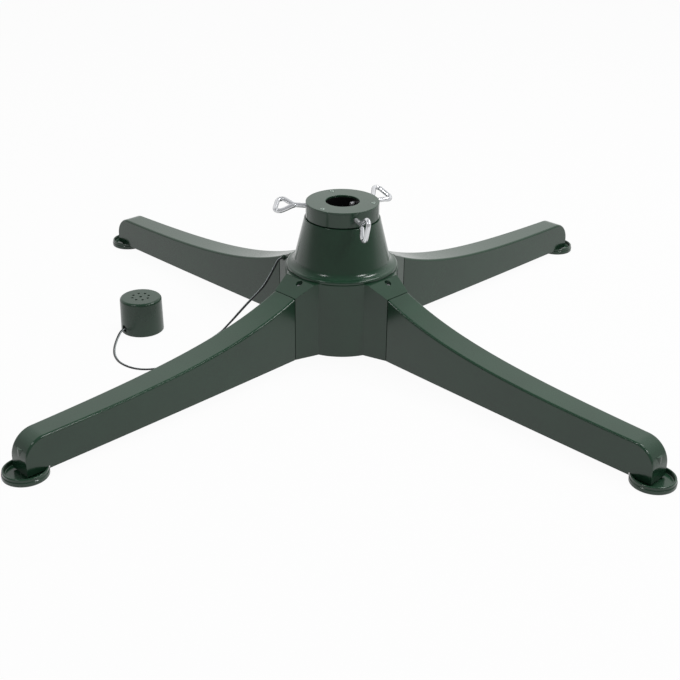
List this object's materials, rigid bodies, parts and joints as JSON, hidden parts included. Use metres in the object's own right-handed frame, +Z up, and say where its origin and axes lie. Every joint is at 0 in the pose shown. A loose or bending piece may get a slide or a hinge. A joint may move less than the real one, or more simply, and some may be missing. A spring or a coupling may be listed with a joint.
{
  "type": "rotating christmas tree stand",
  "caption": "Low stand with a moulded hub on four sweeping legs with dish feet, a belled cover, a motor-driven turning head with eye-bolt clamps, and a corded round sound pod.",
  "frame": {"origin": "on the floor under the axis of the turning head, which is also the middle of the four feet", "axes": "+Z up along the head's axis, -Y towards the front of the picture, +X to the right; the legs run at 45 degrees to X and Y"},
  "size_m": [0.6088, 0.6088, 0.1675],
  "materials": {
    "green_plastic": "satin moulded, deep green",
    "black_plastic": "fine matt, black",
    "steel": "plain drawn or turned steel",
    "bright_zinc": "bright zinc plated",
    "nylon": "natural nylon",
    "green_screw": "dark green painted",
    "motor_can": "zinc plated sheet",
    "circuit_board": "green laminate",
    "cord_sheath": "dark green flexible sheath",
    "paper": "pressed paper pulp, dark grey"
  },
  "bodies": {
    "base": {"hub_shell": "green_plastic", "bottom_cover": "green_plastic", "bottom_cover_screws": "steel", "leg_front_right": "green_plastic", "leg_rear_right": "green_plastic", "leg_rear_left": "green_plastic", "leg_front_left": "green_plastic", "leg_screws": "steel", "foot_front_right": "green_plastic", "foot_rear_right": "green_plastic", "foot_rear_left": "green_plastic", "foot_front_left": "green_plastic", "foot_screws": "steel", "cone_cover": "green_plastic", "cone_cover_screws": "steel", "bearing_housing": "black_plastic", "bearing_housing_screws": "steel", "lower_race": "steel", "lower_bush": "nylon", "drive_motor": "motor_can", "motor_screws": "steel", "power_inlet": "black_plastic", "inlet_nut": "bright_zinc", "sound_board": "circuit_board", "board_screws": "steel", "cord_grommet": "black_plastic", "sound_cord": "cord_sheath", "pod_grommet": "black_plastic", "pod_shell": "green_plastic", "pod_base": "green_plastic", "pod_screws": "steel", "speaker_frame": "black_plastic", "speaker_cone": "paper"},
    "head": {"head_collar": "green_plastic", "head_lid": "green_plastic", "lid_screws": "green_screw", "clamp_nuts": "bright_zinc", "spindle_tube": "steel", "spindle_cap": "black_plastic", "spindle_cap_screws": "steel", "spindle_gear": "nylon", "upper_race": "steel"},
    "cage": {"ball_cage": "nylon", "bearing_balls": "bright_zinc"},
    "pinion": {"drive_pinion": "nylon", "motor_shaft": "steel"},
    "bolt_rear": {"clamp_bolt_rear": "bright_zinc"},
    "bolt_left": {"clamp_bolt_left": "bright_zinc"},
    "bolt_front": {"clamp_bolt_front": "bright_zinc"}
  },
  "joints": [
    {"name": "head_spin", "type": "hinge", "parent": "base", "child": "head", "pos_m": [0, 0, 0.1265], "axis": [0, 0, 1], "continuous": true},
    {"name": "cage_spin", "type": "hinge", "parent": "base", "child": "cage", "pos_m": [0, 0, 0.1265], "axis": [0, 0, 1], "continuous": true},
    {"name": "pinion_spin", "type": "hinge", "parent": "base", "child": "pinion", "pos_m": [0.045, 0, 0.05], "axis": [0, 0, 1], "continuous": true},
    {"name": "clamp_rear", "type": "slide", "parent": "head", "child": "bolt_rear", "axis": [-0.6293, -0.7771, 0], "range_m": [-0.012, 0.008]},
    {"name": "clamp_left", "type": "slide", "parent": "head", "child": "bolt_left", "axis": [0.9877, -0.1564, 0], "range_m": [-0.012, 0.008]},
    {"name": "clamp_front", "type": "slide", "parent": "head", "child": "bolt_front", "axis": [-0.3584, 0.9336, 0], "range_m": [-0.012, 0.008]}
  ],
  "couplings": [
    {"joint": "cage_spin", "follows": "head_spin", "ratio": 0.5},
    {"joint": "pinion_spin", "follows": "head_spin", "ratio": -4}
  ]
}
